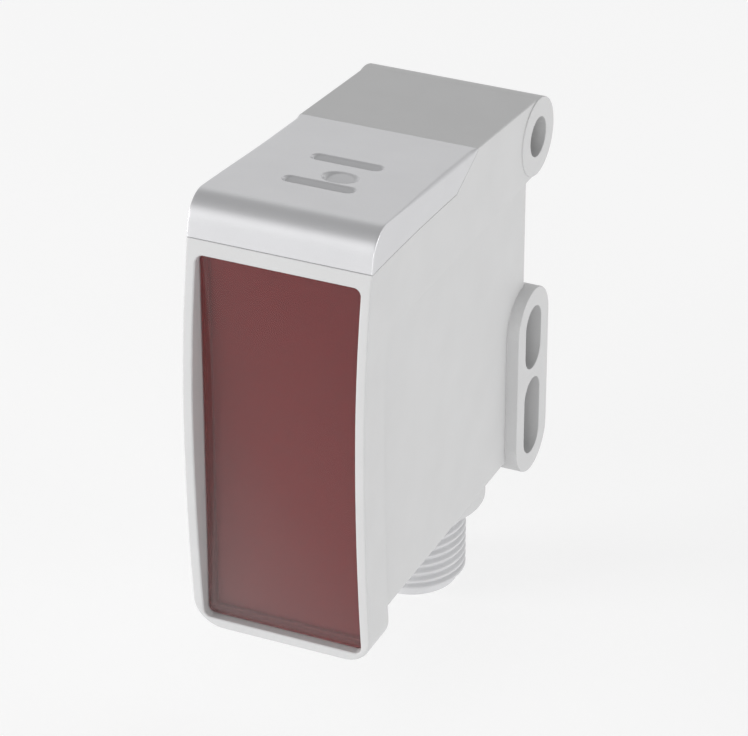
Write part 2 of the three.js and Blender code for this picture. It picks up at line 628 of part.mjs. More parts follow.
function addOperatingBoard() {
  const underside = OPERATING_TOP - OPERATING_BOARD_THICKNESS;
  place(
    "operating_board",
    box(-BOARD_HALF, BOARD_HALF, OPERATING_BOARD_FRONT, OPERATING_BOARD_REAR, underside, OPERATING_TOP),
    "board",
  );

  const switchTop = OPERATING_TOP + SWITCH_HEIGHT;
  const halfSwitch = SWITCH_SIZE / 2;
  const body = box(
    KEY_X - halfSwitch,
    KEY_X + halfSwitch,
    KEY_Y - halfSwitch,
    KEY_Y + halfSwitch,
    OPERATING_TOP,
    switchTop,
  );
  const wellRadius = STEM_RADIUS + STEM_PLAY;
  const well = rod(wellRadius, KEY_X, KEY_Y, OPERATING_TOP + SWITCH_FLOOR, switchTop + PAST);
  place("teach_switch_body", carve([body], [well]), "chip");

  const stemBottom = OPERATING_TOP + SWITCH_FLOOR + KEY_TRAVEL + STEM_PLAY;
  const stemTop = switchTop + STEM_PROUD;
  place("teach_switch_stem", rod(STEM_RADIUS, KEY_X, KEY_Y, stemBottom, stemTop), "button");

  const guideBottom = OPERATING_TOP + GUIDE_HEIGHT;
  const guideTop = guideBottom + GUIDE_THICKNESS;
  const headBottom = guideTop + KEY_TRAVEL + PLUNGER_PLAY;
  const headTop = roofZ(KEY_Y + PLUNGER_HEAD_RADIUS) - CAP_WALL - SEAM_GAP;
  const plunger = turnedZ(
    [
      [0, stemTop],
      [PLUNGER_RADIUS, stemTop],
      [PLUNGER_RADIUS, headBottom],
      [PLUNGER_HEAD_RADIUS, headBottom],
      [PLUNGER_HEAD_RADIUS, headTop],
      [0, headTop],
    ],
    KEY_X,
    KEY_Y,
    24,
  );
  place("teach_plunger", plunger, "button");

  // Guide frame: a plate on four legs, with a bore for the plunger and a slot for each light pipe.
  const guideHalf = SKIRT - SKIRT_WALL - PIPE_PLAY - INNER_PLAY;
  const guideFront = SKIRT_FRONT + SKIRT_WALL + INNER_PLAY + OPERATING_BOARD_THICKNESS;
  const guideRear = SKIRT_REAR - SKIRT_WALL - INNER_PLAY;
  const legs = [-guideHalf, guideHalf - GUIDE_LEG].flatMap((x) =>
    [guideFront, guideRear - GUIDE_LEG].map((y) =>
      box(x, x + GUIDE_LEG, y, y + GUIDE_LEG, OPERATING_TOP, guideTop - GUIDE_THICKNESS / 2),
    ),
  );
  const plate = box(-guideHalf, guideHalf, guideFront, guideRear, guideBottom, guideTop);
  const halfSlot = PIPE_THICKNESS / 2 + PIPE_PLAY;
  const slots = [FRONT_GROOVE_Y, REAR_GROOVE_Y].map((y) =>
    box(
      -PIPE_LENGTH / 2 - PIPE_PLAY,
      PIPE_LENGTH / 2 + PIPE_PLAY,
      y - halfSlot,
      y + halfSlot,
      guideBottom - PAST,
      guideTop + PAST,
    ),
  );
  const boreRadius = PLUNGER_RADIUS + PLUNGER_PLAY;
  const bore = rod(boreRadius, KEY_X, KEY_Y, guideBottom - PAST, guideTop + PAST, 24);
  place("key_guide", carve([plate, ...legs], [...slots, bore]), "black");

  // A light pipe under each groove, over its status lamp.
  const [lampX, lampY, lampZ] = STATUS_LED;
  for (const [name, color, y] of [["front", "green", FRONT_GROOVE_Y], ["rear", "yellow", REAR_GROOVE_Y]]) {
    const pipeBottom = OPERATING_TOP + lampZ + PIPE_TO_LED;
    const pipeTop = roofZ(y + PIPE_THICKNESS / 2) - CAP_WALL - SEAM_GAP;
    const halfPipe = PIPE_LENGTH / 2;
    const halfThickness = PIPE_THICKNESS / 2;
    place(
      `${name}_light_pipe`,
      box(-halfPipe, halfPipe, y - halfThickness, y + halfThickness, pipeBottom, pipeTop),
      "clear",
    );
    place(
      `${name}_status_led`,
      box(-lampX / 2, lampX / 2, y - lampY / 2, y + lampY / 2, OPERATING_TOP, OPERATING_TOP + lampZ),
      color,
    );
  }
}

// ---------------------------------------------------------------- main board

function addMainBoard() {
  const [headerWidth, headerHeight] = HEADER;
  const headerTop = MAIN_BOARD_TOP - HEADER_DROP;
  const boardBottom = SHELL_TOP + MAIN_BOARD_RISE;
  place(
    "main_board",
    box(-BOARD_HALF, BOARD_HALF, MAIN_BOARD_Y, MAIN_BOARD_REAR, boardBottom, MAIN_BOARD_TOP),
    "board",
  );
  place(
    "board_header",
    box(
      -headerWidth / 2,
      headerWidth / 2,
      OPTICS_BOARD_Y + BOARD_THICKNESS,
      MAIN_BOARD_Y,
      headerTop - headerHeight,
      headerTop,
    ),
    "chip",
  );

  for (const [name, x, drop, width, height, thickness] of BOARD_PARTS) {
    const z = MAIN_BOARD_TOP - drop;
    place(
      name,
      box(
        x - width / 2,
        x + width / 2,
        MAIN_BOARD_REAR,
        MAIN_BOARD_REAR + thickness,
        z - height / 2,
        z + height / 2,
      ),
      "chip",
    );
  }
  const [canRadius, canLength] = CAPACITOR;
  const canZ = MAIN_BOARD_TOP - CAPACITOR_DROP;
  for (const [index, x] of CAPACITOR_XS.entries()) {
    place(
      `capacitor_${index + 1}`,
      prismY(circle(canRadius, x, canZ), MAIN_BOARD_REAR, MAIN_BOARD_REAR + canLength, 16),
      "metal",
    );
  }

  // Flat link from the operating board, over the main board's top edge and down its rear face.
  const half = FLEX_THICKNESS / 2;
  const upperZ = OPERATING_TOP + half;
  const rearY = MAIN_BOARD_REAR + half;
  const bend = (radius) =>
    sampled(
      (turn) => [
        rearY - FLEX_BEND + radius * Math.sin(turn),
        upperZ - FLEX_BEND + radius * Math.cos(turn),
      ],
      0,
      Math.PI / 2,
      6,
    );
  const startY = OPERATING_BOARD_REAR - FLEX_LAP;
  const endZ = MAIN_BOARD_TOP - FLEX_DROP;
  const outline = [
    [startY, upperZ + half],
    ...bend(FLEX_BEND + half),
    [rearY + half, endZ],
    [rearY - half, endZ],
    ...bend(FLEX_BEND - half).reverse(),
    [startY, upperZ - half],
  ].reverse();
  place("flex_link", prismX(polygon(outline), -FLEX_WIDTH / 2, FLEX_WIDTH / 2), "flex");
}

// ---------------------------------------------------------------- connector

function addConnector() {
  const threadStart = MOUTH_Z + NOSE_LENGTH;
  const thread = [];
  for (let turn = 0; turn < THREAD_TURNS; turn++) {
    const z = threadStart + turn * THREAD_PITCH;
    thread.push([THREAD_RADIUS, z + THREAD_CREST * THREAD_PITCH]);
    thread.push([THREAD_RADIUS - THREAD_DEPTH, z + THREAD_PITCH / 2]);
    thread.push([THREAD_RADIUS, z + (1 - THREAD_CREST) * THREAD_PITCH]);
  }
  const grooveHalf = RING_SECTION + PIN_PLAY;
  const grooveZ = (CAVITY_FLOOR + UNDERSIDE - SPIGOT_HEIGHT) / 2;
  const grooveFloor = THREAD_RADIUS + PORT_PLAY - 2 * RING_SECTION - PIN_PLAY;
  const shell = [
    [SHELL_BORE, MOUTH_Z],
    [NOSE_RADIUS, MOUTH_Z],
    ...thread,
    [THREAD_RADIUS, grooveZ - grooveHalf],
    [grooveFloor, grooveZ - grooveHalf],
    [grooveFloor, grooveZ + grooveHalf],
    [THREAD_RADIUS, grooveZ + grooveHalf],
    [THREAD_RADIUS, CAVITY_FLOOR],
    [SHELL_FLANGE_RADIUS, CAVITY_FLOOR],
    [SHELL_FLANGE_RADIUS, SHELL_TOP],
    [SHELL_BORE, SHELL_TOP],
    [SHELL_BORE, MOUTH_Z],
  ];
  const insertBottom = MOUTH_Z + INSERT_FACE;
  const keyRib = box(
    -SHELL_KEY_WIDTH / 2,
    SHELL_KEY_WIDTH / 2,
    CONNECTOR_Y - SHELL_BORE - SHELL_WALL / 2,
    CONNECTOR_Y - SHELL_BORE + SHELL_KEY_REACH,
    MOUTH_Z + SHELL_KEY_INSET,
    insertBottom - INSERT_PLAY,
  );
  place("connector_shell", carve([turnedZ(shell, 0, CONNECTOR_Y, 32), keyRib]), "connector");

  const ringRadius = THREAD_RADIUS + PORT_PLAY - RING_SECTION - PIN_PLAY / 2;
  const section = sampled(
    (turn) => [
      ringRadius + RING_SECTION * Math.sin(turn),
      grooveZ - RING_SECTION * Math.cos(turn),
    ],
    0,
    2 * Math.PI,
    10,
  );
  section[section.length - 1] = section[0];
  place("connector_seal_ring", turnedZ(section, 0, CONNECTOR_Y, 24), "rubber");

  const pinAt = (index) => {
    const angle = ((index + 0.5) * 2 * Math.PI) / PIN_COUNT;
    return [PIN_CIRCLE * Math.cos(angle), CONNECTOR_Y + PIN_CIRCLE * Math.sin(angle)];
  };
  const insert = rod(SHELL_BORE - INSERT_PLAY, 0, CONNECTOR_Y, insertBottom, INSERT_TOP, 32);
  const pinBottom = MOUTH_Z + PIN_INSET;
  const pinTop = INSERT_TOP + PIN_TAIL;
  const bores = [];
  for (let index = 0; index < PIN_COUNT; index++) {
    const [x, y] = pinAt(index);
    bores.push(rod(PIN_RADIUS + PIN_PLAY, x, y, insertBottom - PAST, INSERT_TOP + PAST, 12));
    const pin = [
      [0, pinBottom],
      [PIN_RADIUS - PIN_TIP, pinBottom],
      [PIN_RADIUS, pinBottom + PIN_TIP],
      [PIN_RADIUS, pinTop],
      [0, pinTop],
    ];
    place(`contact_pin_${index + 1}`, turnedZ(pin, x, y, 12), "gold");

    // Lead from the pin's tail forward to the main board.
    const start = new THREE.Vector3(x, y, pinTop + LEAD_GAP);
    const bend = new THREE.Vector3(x, y, start.z + LEAD_RISE);
    const landing = MAIN_BOARD_REAR + LEAD_GAP;
    const end = new THREE.Vector3(x, landing, bend.z + (y - landing) * LEAD_SLOPE);
    const route = new THREE.QuadraticBezierCurve3(start, bend, end);
    const lead = new THREE.ExtrudeGeometry(circle(LEAD_RADIUS), {
      steps: 10,
      curveSegments: 8,
      bevelEnabled: false,
      extrudePath: route,
    });
    place(`connector_lead_${index + 1}`, lead, "rubber");
  }
  place("connector_insert", carve([insert], bores), "black");
}

addHousing();
addWindow();
addCap();
addOptics();
addOperatingBoard();
addMainBoard();
addConnector();

// The origin goes to the middle of the sensor's box.
const foremost = -FACE_BULGE;
const rearmost = MOUNT_Y + Math.max(EYE_RADIUS, LUG_RADIUS);
const topmost = group.getObjectByName("operating_cap").geometry;
topmost.computeBoundingBox();
group.position.set(0, -(foremost + rearmost) / 2, -(topmost.boundingBox.max.z + MOUTH_Z) / 2);

export default group;
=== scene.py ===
import json
from math import atan, atan2, cos, hypot, pi, radians, sin, sqrt, tan

import bmesh
import bpy
from mathutils import Matrix, Vector


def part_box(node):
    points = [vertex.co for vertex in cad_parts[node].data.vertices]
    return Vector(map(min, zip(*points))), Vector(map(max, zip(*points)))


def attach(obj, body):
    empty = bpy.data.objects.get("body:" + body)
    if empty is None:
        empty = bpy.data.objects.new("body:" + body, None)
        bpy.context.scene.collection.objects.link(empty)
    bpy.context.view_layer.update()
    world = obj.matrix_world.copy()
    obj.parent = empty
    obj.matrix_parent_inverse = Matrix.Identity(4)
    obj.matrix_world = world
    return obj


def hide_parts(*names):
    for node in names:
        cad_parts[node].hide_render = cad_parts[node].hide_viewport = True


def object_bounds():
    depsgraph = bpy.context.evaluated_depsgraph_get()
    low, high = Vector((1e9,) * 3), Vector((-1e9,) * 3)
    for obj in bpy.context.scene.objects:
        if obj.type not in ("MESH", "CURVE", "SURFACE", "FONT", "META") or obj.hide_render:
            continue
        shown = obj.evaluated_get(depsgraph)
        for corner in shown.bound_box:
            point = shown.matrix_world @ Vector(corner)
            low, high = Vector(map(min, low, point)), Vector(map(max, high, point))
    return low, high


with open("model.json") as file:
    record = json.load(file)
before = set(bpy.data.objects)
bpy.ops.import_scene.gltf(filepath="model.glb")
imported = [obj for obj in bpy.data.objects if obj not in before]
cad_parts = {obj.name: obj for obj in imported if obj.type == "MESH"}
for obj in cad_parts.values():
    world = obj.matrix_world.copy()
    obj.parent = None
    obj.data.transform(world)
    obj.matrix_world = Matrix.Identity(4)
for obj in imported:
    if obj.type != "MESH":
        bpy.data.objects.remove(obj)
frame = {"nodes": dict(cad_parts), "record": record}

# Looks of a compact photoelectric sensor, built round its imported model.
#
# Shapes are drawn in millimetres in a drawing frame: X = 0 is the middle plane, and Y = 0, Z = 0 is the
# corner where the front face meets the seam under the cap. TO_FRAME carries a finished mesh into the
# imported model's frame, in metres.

MM = 0.001
cad_low, cad_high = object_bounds()

# ---------------------------------------------------------------- sizes, in millimetres

HALF = 10
BODY_HEIGHT = 42.35
BODY_DEPTH = 42.9
WALL = 1.4
FLOOR = 1.6
FACE_BULGE = 1.88
FACE_CREST = 20
FACE_LOWER_RADIUS = 200
BEZEL_DEPTH = 4.8
BEZEL_LIP = 2.55
BEZEL_CORNER = 3.2
PANEL = 8.75
PANEL_CORNER = 3.4
PANEL_EDGE = 0.6
ROOF_HEIGHT = 4.315
ROOF_ANGLE = radians(5.15)
SEAM_RADIUS = 290
SEAM_GAP = 0.08

PAD = 10.15
MOUNT_Y = 42.3
EYE_RADIUS = 4.35
EYE_BORE = 2.17
LUG_RADIUS = 4.31
LUG_LOW = -40.25
LUG_HIGH = -26.5
SLOT_RADIUS = 2.16
UPPER_SLOT_TRAVEL = 3.1
LOWER_SLOT_TRAVEL = 4.9
MOUNT_FILLET = 1.0

WINDOW_HALF = HALF - 1.12
WINDOW_TOP = -1.7
WINDOW_BOTTOM = -BODY_HEIGHT - BEZEL_LIP + 1.18
WINDOW_CORNER = 0.8
WINDOW_CORNER_LEAST = 0.3
WINDOW_PLAY = 0.12
GLASS_FRONT = 0.4
GLASS_REAR = 2.0
GLASS_EDGE = 0.08
SEAT_Y = 2.6
GASKET_BORDER = 0.55
SHEET_THICKNESS = 0.1
LAYER_GAP = 0.02

CAP_LENGTH = 26
CAP_FLAT = 20.5
CAP_WALL = 1.3
CAP_REAR_EDGE = 0.22
CAP_FRONT_RADIUS = 3
CAP_FRONT_LEAN = atan(0.2)
GROOVE_YS = (9.4, 16.1)
GROOVE_HALF = 3.05
GROOVE_RADIUS = 0.95
GROOVE_DEPTH = 0.8
GROOVE_WALL = 0.3
KEY_X, KEY_Y = 1.1, 12.05
KEY_REACH_X, KEY_REACH_Y = 2.0, 1.65
KEY_DEPTH = 0.9
KEY_WALL = 0.45

LEDGE_Z = -3.1
SKIRT = 8.4
SKIRT_FRONT = 3.5
SKIRT_REAR = 20.2
SKIRT_WALL = 1
SKIRT_LIFT = 0.6
SKIRT_TOP = 0.5
SKIRT_PLAY = 0.1

CONNECTOR_Y = 32.7
SPIGOT_RADIUS = 8.06
SPIGOT_BOTTOM = -44.95
THREAD_RADIUS = 6
THREAD_DEPTH = 0.55
THREAD_PITCH = 1
THREAD_TURNS = 8
THREAD_VALLEY = (0.15, 0.9)
THREAD_FADE_IN = 0.4
THREAD_FADE_OUT = 0.6
MOUTH_Z = -55.13
MOUTH_EDGE = 0.15
NOSE_RADIUS = 5.17
NOSE_LENGTH = 1.43
NOSE_EDGE = 0.25
NOSE_EDGE_MIDDLE = 0.07
NOSE_STEP = 0.05
PORT_PLAY = 0.15
SHELL_BORE = 4.4
SHELL_HEAD = 1.2
SHELL_KEY_WIDTH = 0.9
SHELL_KEY_REACH = 0.6
SHELL_KEY_INSET = 1.5
SHELL_KEY_LENGTH = 6.4

# Rounding and relief of the finished pieces
FRAME_EDGE = 0.22
SEAM_EDGE = 0.05
REAR_EDGE = 0.5
MOUNT_EDGE = 0.12
MOUNT_RELIEF = 0.4
SPIGOT_EDGE = 0.35
CAP_SIDE_EDGE = 0.15
CAP_SIDE_GROWN = 0.6
CAP_SIDE_FULL = 19
CAP_SIDE_SHARE = 0.8

# Steps of the curved surfaces, and the part of the cap that takes the finer ones
CAP_ROW = 0.4
CAP_FINE_ROW = 0.1
CAP_FINE_X = (-4.4, 4.4)
CAP_FINE_Y = (8, 17.6)
CAP_FRONT_SHARES = (0, 0.1, 0.4, 0.7)
CAP_SEAM_START = 1
CONNECTOR_STEPS = 96
THREAD_ROWS = 12

# How far a tool reaches past what it cuts, how far joined solids overlap, and depths clear of the sensor
PAST = 1
OVERLAP = 0.1
CLEAR_FRONT, CLEAR_REAR = -5, 60
CLEAR_ABOVE = 5

FACE_BOTTOM = -BODY_HEIGHT - BEZEL_LIP


def roof_z(y):
    """Height of the roof line at a depth y."""
    return ROOF_HEIGHT - y * tan(ROOF_ANGLE)


def seam_z(y):
    """Height of the seam under the cap at a depth y."""
    return sqrt(SEAM_RADIUS**2 - y**2) - SEAM_RADIUS


def face_y(z):
    """Depth of the convex front face at a height z."""
    upper = (FACE_CREST**2 + FACE_BULGE**2) / (2 * FACE_BULGE)
    radius = upper if z > -FACE_CREST else FACE_LOWER_RADIUS
    return radius - FACE_BULGE - sqrt(radius**2 - (z + FACE_CREST) ** 2)


EYE_Z = roof_z(MOUNT_Y) - EYE_RADIUS / cos(ROOF_ANGLE)
PANEL_TOP = EYE_Z - EYE_RADIUS
THREAD_START = MOUTH_Z + NOSE_LENGTH
THREAD_END = THREAD_START + THREAD_TURNS * THREAD_PITCH

# The drawing frame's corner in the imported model's frame.
housing_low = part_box("housing")[0]
ORIGIN = Vector((0, housing_low.y + FACE_BULGE * MM, cad_low.z - MOUTH_Z * MM))
TO_FRAME = Matrix.Translation(ORIGIN) @ Matrix.Scale(MM, 4)

# ---------------------------------------------------------------- camera, floor and lights

scene = bpy.context.scene
scene.view_settings.view_transform = "Standard"

VIEW_AZIMUTH = radians(24.25)
VIEW_ELEVATION = radians(29.41)
VIEW_DISTANCE = 0.382287
AIM = (cad_low + cad_high) / 2 + Vector((-0.223, 0.636, 1.191)) * MM
LENS = 175.05
SENSOR = 36
CLIP = (0.01, 20)

# Light of the studio's walls and ceiling by the sine of the height above the horizon
SKY = ((0, 0.95), (0.3, 0.8), (0.62, 0.54), (0.9, 0.47), (1, 0.4))

# Softboxes: azimuth and elevation in degrees, width and height in metres, power in watts
SOFTBOX_DISTANCE = 0.9
SOFTBOXES = (
    ("key", -60, 5, 0.4, 0.3, 4.7),
    ("fill", 20, 5, 0.35, 0.3, 1.4),
    ("side", 100, 5, 0.5, 0.3, 2.1),
    ("edge", -27, 33, 0.45, 0.45, 0.42),
    ("rear", -155, 36, 0.5, 0.4, 0.2),
)

FLOOR_HALF = 6.0
FLOOR_TONES = ((0.4, 0.4, 0.4), (0.41, 0.41, 0.41))
FLOOR_GLOW = 0.62


def direction(azimuth, elevation):
    """Unit vector from the object towards a place round it; azimuth 0 is in front."""
    return Vector((sin(azimuth) * cos(elevation), -cos(azimuth) * cos(elevation), sin(elevation)))


def placed(name, data, target, back, distance):
    """A camera or lamp that looks at the target from a distance along back."""
    item = bpy.data.objects.new(name, data)
    scene.collection.objects.link(item)
    item.location = target + back * distance
    item.rotation_mode = "QUATERNION"
    item.rotation_quaternion = (-back).to_track_quat("-Z", "Y")
    return item


def add_camera():
    data = bpy.data.cameras.new("camera")
    data.lens = LENS
    data.sensor_width = SENSOR
    data.clip_start, data.clip_end = CLIP
    back = direction(VIEW_AZIMUTH, VIEW_ELEVATION)
    scene.camera = placed("camera", data, AIM, back, VIEW_DISTANCE)


def add_softbox(name, azimuth, elevation, width, height, power):
    data = bpy.data.lights.new(name, "AREA")
    data.shape = "RECTANGLE"
    data.size, data.size_y = width, height
    data.energy = power
    placed(name, data, Vector(), direction(radians(azimuth), radians(elevation)), SOFTBOX_DISTANCE)


def set_stops(ramp, stops):
    """Gives a colour ramp its stops, each a position and a colour."""
    elements = ramp.color_ramp.elements
    while len(elements) < len(stops):
        elements.new(0.5)
    for element, (position, color) in zip(elements, stops):
        element.position = position
        element.color = (*color, 1)


def add_sky():
    world = bpy.data.worlds.new("studio")
    scene.world = world
    world.use_nodes = True
    tree = world.node_tree
    place = tree.nodes.new("ShaderNodeTexCoord")
    split = tree.nodes.new("ShaderNodeSeparateXYZ")
    ramp = tree.nodes.new("ShaderNodeValToRGB")
    set_stops(ramp, [(height, (light, light, light)) for height, light in SKY])
    tree.links.new(place.outputs["Generated"], split.inputs["Vector"])
    tree.links.new(split.outputs["Z"], ramp.inputs["Fac"])
    tree.links.new(ramp.outputs["Color"], tree.nodes["Background"].inputs["Color"])


def add_floor():
    mesh = bpy.data.meshes.new("floor")
    signs = ((-1, -1), (1, -1), (1, 1), (-1, 1))
    corners = [(x * FLOOR_HALF, y * FLOOR_HALF, cad_low.z) for x, y in signs]
    mesh.from_pydata(corners, [], [(0, 1, 2, 3)])
    floor = bpy.data.objects.new("floor", mesh)
    scene.collection.objects.link(floor)
    mesh.materials.append(floor_material())


# ---------------------------------------------------------------- materials

# The part of a noise's range that its colours and values are spread over
NOISE_LOW, NOISE_HIGH = 0.3, 0.7
MOTTLE = 0.03
MOTTLE_SIZE = 5.0
PLASTIC_SPREAD = 0.05
METAL_SPREAD = 0.06
PLASTIC_IOR = 1.49
TRACKS_SCALE = 700
TRACKS_DISTORTION = 2

# Tones over the window, from its lower left corner to its upper right one, and the span they cover in mm.
# Their lighter, greyer lower left is a painted reflection of the floor over the window's own dark red.
FADE_SPAN = (-24, 24)
GLASS_TONES = ((0, (0.7, 0.43, 0.43)), (0.5, (0.68, 0.22, 0.22)), (1, (0.65, 0.14, 0.145)))
GLASS_TRANSMISSION = 0.9
FILTER_TONES = ((0, (0.25, 0.15, 0.15)), (0.5, (0.15, 0.06, 0.06)), (1, (0.08, 0.03, 0.03)))


class Nodes:
    """A material's node tree, with short calls for what the materials here are made of."""

    def __init__(self, name):
        self.material = bpy.data.materials.new(name)
        self.material.use_nodes = True
        self.tree = self.material.node_tree
        self.shader = self.tree.nodes["Principled BSDF"]
        self.place = self.add("ShaderNodeTexCoord").outputs["Object"]

    def add(self, kind, **values):
        node = self.tree.nodes.new(kind)
        for key, value in values.items():
            setattr(node, key, value)
        return node

    def link(self, source, target):
        self.tree.links.new(source, target)

    def noise(self, size_mm, detail=2.0, roughness=0.5):
        """Noise with features of about size_mm."""
        node = self.add("ShaderNodeTexNoise")
        node.inputs["Scale"].default_value = 1 / (size_mm * MM)
        node.inputs["Detail"].default_value = detail
        node.inputs["Roughness"].default_value = roughness
        self.link(self.place, node.inputs["Vector"])
        return node.outputs["Fac"]

    def math(self, operation, first, second):
        """A sum or product of two sockets, or of a socket and a number."""
        node = self.add("ShaderNodeMath", operation=operation)
        self.link(first, node.inputs[0])
        if isinstance(second, float):
            node.inputs[1].default_value = second
        else:
            self.link(second, node.inputs[1])
        return node.outputs[0]

    def to_range(self, source, low, high, source_low=NOISE_LOW, source_high=NOISE_HIGH):
        node = self.add("ShaderNodeMapRange")
        node.inputs["From Min"].default_value = source_low
        node.inputs["From Max"].default_value = source_high
        node.inputs["To Min"].default_value = low
        node.inputs["To Max"].default_value = high
        self.link(source, node.inputs["Value"])
        return node.outputs["Result"]

    def color(self, source, stops):
        """Base colour through a ramp."""
        ramp = self.add("ShaderNodeValToRGB")
        set_stops(ramp, stops)
        self.link(source, ramp.inputs["Fac"])
        self.link(ramp.outputs["Color"], self.shader.inputs["Base Color"])

    def mottled(self, source, color, darkest, lightest):
        """Base colour that strays a little to both sides of one colour."""
        self.color(source, [(NOISE_LOW, shaded(color, darkest)), (NOISE_HIGH, shaded(color, lightest))])

    def roughness(self, source, low, high):
        self.link(self.to_range(source, low, high), self.shader.inputs["Roughness"])

    def bump(self, source, depth_mm):
        node = self.add("ShaderNodeBump")
        node.inputs["Distance"].default_value = depth_mm * MM
        self.link(source, node.inputs["Height"])
        self.link(node.outputs["Normal"], self.shader.inputs["Normal"])

    def set(self, **values):
        for key, value in values.items():
            self.shader.inputs[key.replace("_", " ")].default_value = value


def shaded(color, factor):
    return tuple(min(1.0, c * factor) for c in color)


def plastic(name, color, roughness, grain_mm=0.12, grain_depth=0.004, **values):
    """Moulded plastic: a faint mottle in its colour, a fine spark-eroded grain, and a roughness to match."""
    nodes = Nodes(name)
    broad = nodes.noise(MOTTLE_SIZE, 3)
    fine = nodes.noise(grain_mm, 2, 0.6)
    mean = nodes.math("MULTIPLY", nodes.math("ADD", broad, fine), 0.5)
    nodes.mottled(mean, color, 1 - MOTTLE, 1 + MOTTLE)
    nodes.roughness(fine, roughness - PLASTIC_SPREAD, roughness + PLASTIC_SPREAD)
    nodes.bump(fine, grain_depth)
    nodes.set(**values)
    return nodes.material


def metal(name, color, roughness):
    nodes = Nodes(name)
    fine = nodes.noise(0.3, 3)
    nodes.mottled(fine, color, 0.92, 1.05)
    nodes.roughness(fine, roughness - METAL_SPREAD, roughness + METAL_SPREAD)
    nodes.bump(fine, 0.002)
    nodes.set(Metallic=1.0)
    return nodes.material


def clear(name, color, roughness, transmission):
    """Clear or tinted polished plastic, with a trace of unevenness in its surface."""
    nodes = Nodes(name)
    broad = nodes.noise(6)
    nodes.mottled(broad, color, 0.96, 1.04)
    nodes.roughness(broad, roughness, roughness + 0.03)
    nodes.set(Transmission_Weight=transmission, IOR=PLASTIC_IOR)
    return nodes.material


def board(name, color):
    """Solder mask with faint copper tracks under it."""
    nodes = Nodes(name)
    wave = nodes.add("ShaderNodeTexWave", wave_type="BANDS", bands_direction="DIAGONAL")
    wave.inputs["Scale"].default_value = TRACKS_SCALE
    wave.inputs["Distortion"].default_value = TRACKS_DISTORTION
    nodes.link(nodes.place, wave.inputs["Vector"])
    tracks = wave.outputs["Fac"]
    nodes.color(tracks, [(0.45, color), (0.55, shaded(color, 1.7))])
    nodes.roughness(nodes.noise(1.5), 0.3, 0.4)
    nodes.bump(tracks, 0.02)
    return nodes.material


def tint_with_painted_reflection(nodes, tones):
    """Colour from its first tone at the window's lower left corner to its last at the upper right: the
    plastic's own colour with a painted reflection of the floor, lightest at the lower left.
    """
    split = nodes.add("ShaderNodeSeparateXYZ")
    nodes.link(nodes.place, split.inputs["Vector"])
    slant = nodes.math("ADD", split.outputs["X"], split.outputs["Z"])
    low, high = (edge * MM for edge in FADE_SPAN)
    nodes.color(nodes.to_range(slant, 0, 1, low, high), tones)


def window_material():
    """Polished dark red plastic, clear enough to show the edge of its pocket, with a painted floor
    reflection that lightens it towards the lower left.
    """
    nodes = Nodes("window_plastic")
    # painted reflection of the floor: the colour is lighter towards the lower left
    tint_with_painted_reflection(nodes, GLASS_TONES)
    nodes.roughness(nodes.noise(6), 0.04, 0.07)
    nodes.set(Transmission_Weight=GLASS_TRANSMISSION, IOR=PLASTIC_IOR)
    return nodes.material


def filter_material():
    """Dark red filter sheet behind the window, with a painted floor reflection that lightens it towards the
    lower left.
    """
    nodes = Nodes("filter_sheet")
    # painted reflection of the floor: the colour is lighter towards the lower left
    tint_with_painted_reflection(nodes, FILTER_TONES)
    nodes.roughness(nodes.noise(3), 0.35, 0.45)
    return nodes.material


def floor_material():
    """Pale floor that glows a little, as an evenly lit backdrop does."""
    nodes = Nodes("floor")
    nodes.color(nodes.noise(60), list(zip((NOISE_LOW, NOISE_HIGH), FLOOR_TONES)))
    nodes.set(Roughness=0.9, Emission_Color=(1, 1, 1, 1), Emission_Strength=FLOOR_GLOW)
    return nodes.material


MATERIALS = {
    "housing_plastic": plastic("housing_plastic", (0.56, 0.56, 0.562), 0.5),
    "cap_plastic": plastic("cap_plastic", (0.645, 0.645, 0.658), 0.37, 0.1, 0.003, Metallic=0.85),
    "window_plastic": window_material(),
    "seal_rubber": plastic("seal_rubber", (0.05, 0.05, 0.052), 0.75, 0.2, 0.01),
    "black_plastic": plastic("black_plastic", (0.02, 0.02, 0.022), 0.5),
    "lens_plastic": clear("lens_plastic", (0.92, 0.94, 0.96), 0.02, 1.0),
    "circuit_board": board("circuit_board", (0.015, 0.11, 0.05)),
    "chip_black": plastic("chip_black", (0.03, 0.03, 0.032), 0.55, 0.1, 0.006),
    "emitter_red": clear("emitter_red", (0.5, 0.02, 0.02), 0.1, 0.4),
    "key_plastic": plastic("key_plastic", (0.75, 0.75, 0.76), 0.45),
    "light_pipe_plastic": clear("light_pipe_plastic", (0.88, 0.9, 0.92), 0.12, 0.9),
    "led_green": clear("led_green", (0.08, 0.5, 0.12), 0.15, 0.3),
    "led_yellow": clear("led_yellow", (0.8, 0.55, 0.05), 0.15, 0.3),
    "capacitor_metal": metal("capacitor_metal", (0.6, 0.61, 0.62), 0.3),
    "flex_film": plastic("flex_film", (0.5, 0.2, 0.04), 0.3, 0.5, 0.002),
    "connector_plastic": plastic("connector_plastic", (0.6, 0.6, 0.61), 0.5),
    "pin_gold": metal("pin_gold", (0.83, 0.62, 0.28), 0.25),
    "lead_insulation": plastic("lead_insulation", (0.05, 0.05, 0.055), 0.45, 0.3, 0.004),
}

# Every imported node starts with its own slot's material.
for part in frame["record"]["subparts"]:
    node = frame["nodes"][part["node"]]
    node.data.materials.clear()
    node.data.materials.append(MATERIALS[part["material_slot"]])


# ---------------------------------------------------------------- outlines


def sampled(curve, start, end, steps):
    """steps + 1 points of a curve from start to end."""
    return [curve(start + (end - start) * i / steps) for i in range(steps + 1)]


def spaced(start, end, steps):
    """steps + 1 numbers from start to end, evenly spaced."""
    return sampled(lambda value: value, start, end, steps)


